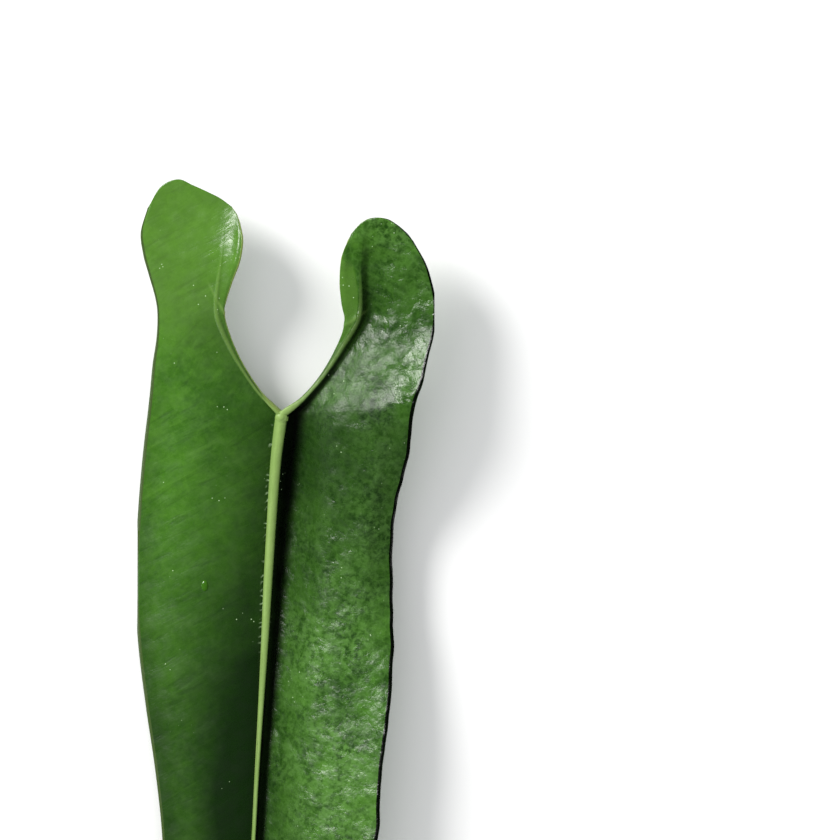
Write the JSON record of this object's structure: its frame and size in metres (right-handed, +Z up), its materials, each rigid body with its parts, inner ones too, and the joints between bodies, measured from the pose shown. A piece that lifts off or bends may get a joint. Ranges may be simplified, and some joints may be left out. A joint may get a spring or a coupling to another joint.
{
  "type": "anthurium leaf",
  "caption": "Long dark green anthurium leaf, cut and lying face up, with a raised midrib, waved margins, a deep open sinus and rounded ears at its base.",
  "frame": {"origin": "on the surface the leaf lies on, under the middle of its bounding box", "axes": "+Y from the pointed tip toward the ears at the leaf's base, +X toward the right half as seen from above, +Z up from the surface, toward the upper face"},
  "size_m": [0.0891, 0.3236, 0.0259],
  "materials": {
    "leaf_green": "satin"
  },
  "bodies": {
    "root": {"leaf": "leaf_green"}
  },
  "joints": []
}
